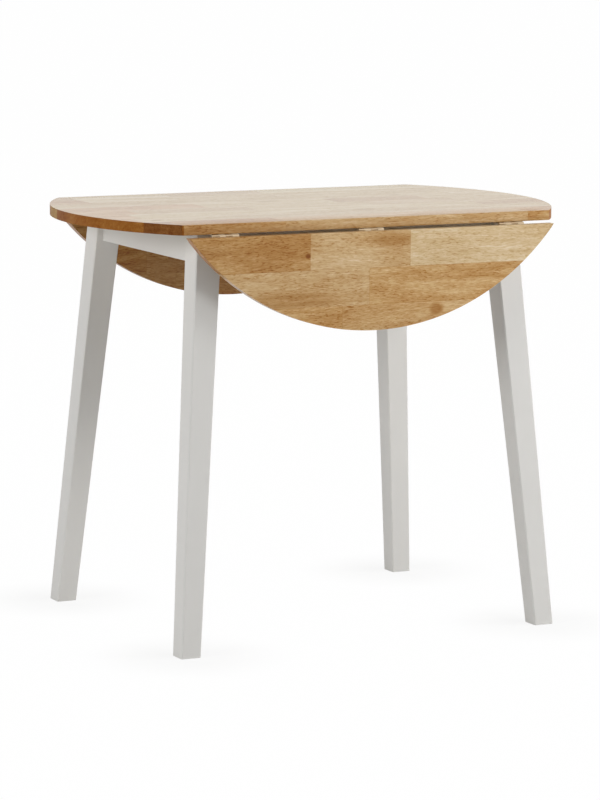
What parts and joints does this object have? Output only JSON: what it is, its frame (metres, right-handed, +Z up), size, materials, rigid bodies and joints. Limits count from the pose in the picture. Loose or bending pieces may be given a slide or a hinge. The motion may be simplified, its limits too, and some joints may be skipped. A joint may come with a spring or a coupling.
{
  "type": "drop-leaf table",
  "caption": "Round drop-leaf table: fixed centre panel on splayed tapered legs, with hinged half-moon leaves that sliding flat bars hold level.",
  "frame": {"origin": "on the floor under the middle of the table", "axes": "+X along the hinge lines to the right, +Y to the back, +Z up; the front leaf is at -Y"},
  "size_m": [0.905, 0.5976, 0.75],
  "materials": {
    "oiled_hardwood": "satin clear lacquer over jointed hardwood staves",
    "white_paint": "satin off-white paint on wood",
    "nickel_plate": "bright plated steel",
    "zinc_steel": "zinc plated sheet and bar",
    "zinc_fasteners": "zinc plated fasteners"
  },
  "bodies": {
    "frame": {"angle_bracket_back": "zinc_steel", "angle_bracket_front": "zinc_steel", "angle_bracket_left": "zinc_steel", "angle_bracket_right": "zinc_steel", "apron_back": "white_paint", "apron_front": "white_paint", "apron_left": "white_paint", "apron_right": "white_paint", "center_panel": "oiled_hardwood", "corner_bracket_back_left": "zinc_steel", "corner_bracket_back_right": "zinc_steel", "corner_bracket_front_left": "zinc_steel", "corner_bracket_front_right": "zinc_steel", "guide_inner_back_left": "zinc_steel", "guide_inner_back_right": "zinc_steel", "guide_inner_front_left": "zinc_steel", "guide_inner_front_right": "zinc_steel", "guide_outer_back_left": "zinc_steel", "guide_outer_back_right": "zinc_steel", "guide_outer_front_left": "zinc_steel", "guide_outer_front_right": "zinc_steel", "hinge_back_center_panel_plate": "nickel_plate", "hinge_back_left_panel_plate": "nickel_plate", "hinge_back_right_panel_plate": "nickel_plate", "hinge_front_center_panel_plate": "nickel_plate", "hinge_front_left_panel_plate": "nickel_plate", "hinge_front_right_panel_plate": "nickel_plate", "leg_back_left": "white_paint", "leg_back_right": "white_paint", "leg_bolts": "white_paint", "leg_front_left": "white_paint", "leg_front_right": "white_paint", "stop_screws": "zinc_fasteners"},
    "leaf_front": {"hinge_front_center_leaf_plate": "nickel_plate", "hinge_front_left_leaf_plate": "nickel_plate", "hinge_front_right_leaf_plate": "nickel_plate", "leaf_front": "oiled_hardwood"},
    "leaf_back": {"hinge_back_center_leaf_plate": "nickel_plate", "hinge_back_left_leaf_plate": "nickel_plate", "hinge_back_right_leaf_plate": "nickel_plate", "leaf_back": "oiled_hardwood"},
    "bar_back_left": {"slide_bar_back_left": "zinc_steel"},
    "bar_back_right": {"slide_bar_back_right": "zinc_steel"},
    "bar_front_left": {"slide_bar_front_left": "zinc_steel"},
    "bar_front_right": {"slide_bar_front_right": "zinc_steel"}
  },
  "joints": [
    {"name": "leaf_front_hinge", "type": "hinge", "parent": "frame", "child": "leaf_front", "pos_m": [0, -0.278, 0.7292], "axis": [-1, 0, 0], "range_deg": [0, 90]},
    {"name": "leaf_back_hinge", "type": "hinge", "parent": "frame", "child": "leaf_back", "pos_m": [0, 0.278, 0.7292], "axis": [1, 0, 0], "range_deg": [0, 90]},
    {"name": "bar_front_left_slide", "type": "slide", "parent": "frame", "child": "bar_front_left", "axis": [0, -1, 0], "range_m": [0, 0.14]},
    {"name": "bar_front_right_slide", "type": "slide", "parent": "frame", "child": "bar_front_right", "axis": [0, -1, 0], "range_m": [0, 0.14]},
    {"name": "bar_back_left_slide", "type": "slide", "parent": "frame", "child": "bar_back_left", "axis": [0, 1, 0], "range_m": [0, 0.14]},
    {"name": "bar_back_right_slide", "type": "slide", "parent": "frame", "child": "bar_back_right", "axis": [0, 1, 0], "range_m": [0, 0.14]}
  ]
}
